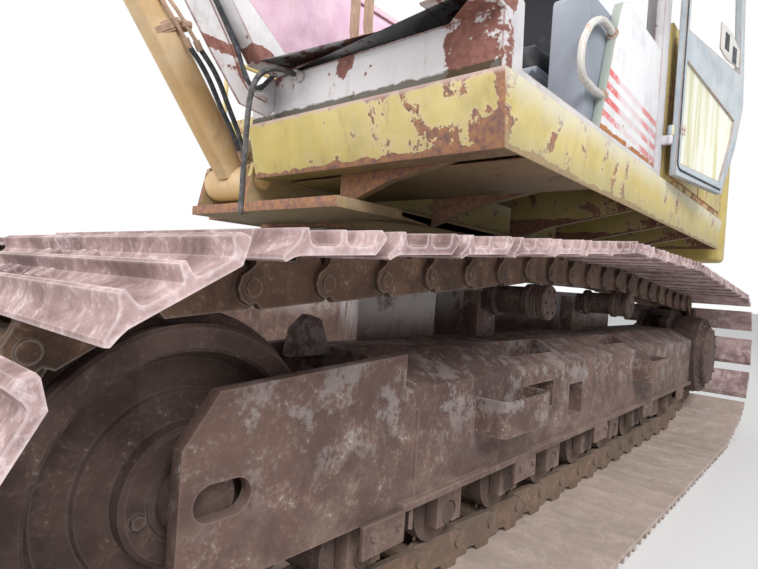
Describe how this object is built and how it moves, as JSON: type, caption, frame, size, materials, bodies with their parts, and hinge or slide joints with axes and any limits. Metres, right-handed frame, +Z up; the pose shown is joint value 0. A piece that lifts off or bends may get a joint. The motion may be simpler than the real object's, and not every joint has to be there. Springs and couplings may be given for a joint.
{
  "type": "crawler excavator",
  "caption": "Crawler excavator parked with boom lowered and arm drawn in, with turning upper frame, working boom, arm and bucket, rusty tracks and a striped off-white cab",
  "frame": {"origin": "middle of the bounding box in X and Y, on the ground", "axes": "+X towards the boom, +Y to the machine's left where the cab is, +Z up"},
  "size_m": [9.8314, 3.49, 4.0403],
  "materials": {
    "frame_rust": "weathered paint worn to brown rust",
    "shoe_steel": "bare steel with worn rust and dried mud",
    "chain_rust": "orange brown rust",
    "wheel_rust": "dark rust, polished rims",
    "ring_steel": "greasy machined steel",
    "yellow_paint": "chipped mustard yellow paint",
    "engine_paint": "grey paint under oil",
    "exhaust_rust": "heat stained rust",
    "white_paint": "off white paint with rust along the edges",
    "door_paint": "faded grey green paint",
    "seat_cloth": "worn dark cloth",
    "console_plastic": "grey moulded plastic",
    "lever_rust": "rusted steel",
    "cylinder_paint": "worn orange yellow paint",
    "rod_chrome": "plated rod",
    "bucket_steel": "worn bare steel and rust",
    "hose_rubber": "black rubber"
  },
  "bodies": {
    "undercarriage": {"centre_frame": "frame_rust", "track_frame_left": "frame_rust", "track_frame_right": "frame_rust", "track_left": "shoe_steel", "track_right": "shoe_steel", "chain_left": "chain_rust", "chain_right": "chain_rust", "idler_left": "wheel_rust", "idler_right": "wheel_rust", "final_drive_left": "wheel_rust", "final_drive_right": "wheel_rust", "rollers_left": "wheel_rust", "rollers_right": "wheel_rust", "swing_ring_lower": "ring_steel"},
    "upper": {"revolving_frame": "yellow_paint", "deck_left": "yellow_paint", "deck_right": "yellow_paint", "counterweight": "yellow_paint", "machinery_house": "yellow_paint", "engine_block": "engine_paint", "tank_house": "yellow_paint", "exhaust": "exhaust_rust", "cab_shell": "white_paint", "cab_striped_panel": "white_paint", "seat": "seat_cloth", "console": "console_plastic", "levers": "lever_rust", "grab_handle": "white_paint", "handrails": "white_paint", "loose_hose": "hose_rubber"},
    "engine_hood": {"engine_hood": "yellow_paint"},
    "cab_door": {"cab_door": "door_paint"},
    "boom": {"boom": "yellow_paint"},
    "lift_barrel": {"lift_barrel": "cylinder_paint"},
    "lift_rod": {"lift_rod": "rod_chrome"},
    "arm": {"arm": "yellow_paint"},
    "arm_barrel": {"arm_barrel": "cylinder_paint"},
    "arm_rod": {"arm_rod": "rod_chrome"},
    "bucket_barrel": {"bucket_barrel": "cylinder_paint"},
    "bucket_rod": {"bucket_rod": "rod_chrome"},
    "rocker": {"rocker": "yellow_paint"},
    "bucket_link": {"bucket_link": "yellow_paint"},
    "bucket": {"bucket": "bucket_steel"}
  },
  "joints": [
    {"name": "swing", "type": "hinge", "parent": "undercarriage", "child": "upper", "pos_m": [-1.8658, 0, 1.21], "axis": [0, 0, 1], "continuous": true},
    {"name": "boom_lift", "type": "hinge", "parent": "upper", "child": "boom", "pos_m": [-1.7158, 0, 1.95], "axis": [0, -1, 0], "range_deg": [-26, 36]},
    {"name": "arm_crowd", "type": "hinge", "parent": "boom", "child": "arm", "pos_m": [4.07154, 0, 3.53324], "axis": [0, 1, 0], "range_deg": [-98, 3]},
    {"name": "bucket_curl", "type": "hinge", "parent": "arm", "child": "bucket", "pos_m": [2.26357, 0, 1.26581], "axis": [0, 1, 0], "range_deg": [-22, 112]},
    {"name": "door_swing", "type": "hinge", "parent": "upper", "child": "cab_door", "pos_m": [-2.5678, 1.513, 2.3], "axis": [0, 0, 1], "range_deg": [-171, 0]},
    {"name": "hood_lift", "type": "hinge", "parent": "upper", "child": "engine_hood", "pos_m": [-4.2038, 0, 2.426], "axis": [0, -1, 0], "range_deg": [0, 70]},
    {"name": "lift_barrel_tilt", "type": "hinge", "parent": "upper", "child": "lift_barrel", "pos_m": [-0.9458, 0, 1.34], "axis": [0, -1, 0], "range_deg": [-25.22, 34.73]},
    {"name": "lift_rod_slide", "type": "slide", "parent": "lift_barrel", "child": "lift_rod", "axis": [0.6007, 0, 0.7995], "range_m": [-0.4345, 0.6001]},
    {"name": "arm_barrel_tilt", "type": "hinge", "parent": "boom", "child": "arm_barrel", "pos_m": [0.91118, 0, 3.94386], "axis": [0, -1, 0], "range_deg": [-0.81, 10.72]},
    {"name": "arm_rod_slide", "type": "slide", "parent": "arm_barrel", "child": "arm_rod", "axis": [1, 0, -0.0017], "range_m": [-1.1746, 0.0398]},
    {"name": "rocker_tilt", "type": "hinge", "parent": "arm", "child": "rocker", "pos_m": [2.53788, 0, 1.60983], "axis": [0, -1, 0], "range_deg": [-83.4, 16.78]},
    {"name": "bucket_barrel_tilt", "type": "hinge", "parent": "arm", "child": "bucket_barrel", "pos_m": [4.49861, 0, 3.09039], "axis": [0, -1, 0], "range_deg": [-0.65, 1.27]},
    {"name": "bucket_rod_slide", "type": "slide", "parent": "bucket_barrel", "child": "bucket_rod", "axis": [-0.6596, 0, -0.7516], "range_m": [-0.1617, 0.8068]},
    {"name": "bucket_link_tilt", "type": "hinge", "parent": "bucket", "child": "bucket_link", "pos_m": [2.68651, 0, 1.16773], "axis": [0, -1, 0], "range_deg": [-18.12, 90.21]}
  ],
  "couplings": [
    {"joint": "lift_barrel_tilt", "follows": "boom_lift", "ratio": 0.95071},
    {"joint": "lift_rod_slide", "follows": "boom_lift", "m_per_rad": 0.9487},
    {"joint": "arm_barrel_tilt", "follows": "arm_crowd", "ratio": -0.10432},
    {"joint": "arm_rod_slide", "follows": "arm_crowd", "m_per_rad": 0.68438},
    {"joint": "rocker_tilt", "follows": "bucket_curl", "ratio": -0.74016},
    {"joint": "bucket_barrel_tilt", "follows": "bucket_curl", "ratio": 0.00686},
    {"joint": "bucket_rod_slide", "follows": "bucket_curl", "m_per_rad": 0.41071},
    {"joint": "bucket_link_tilt", "follows": "bucket_curl", "ratio": 0.80099}
  ]
}
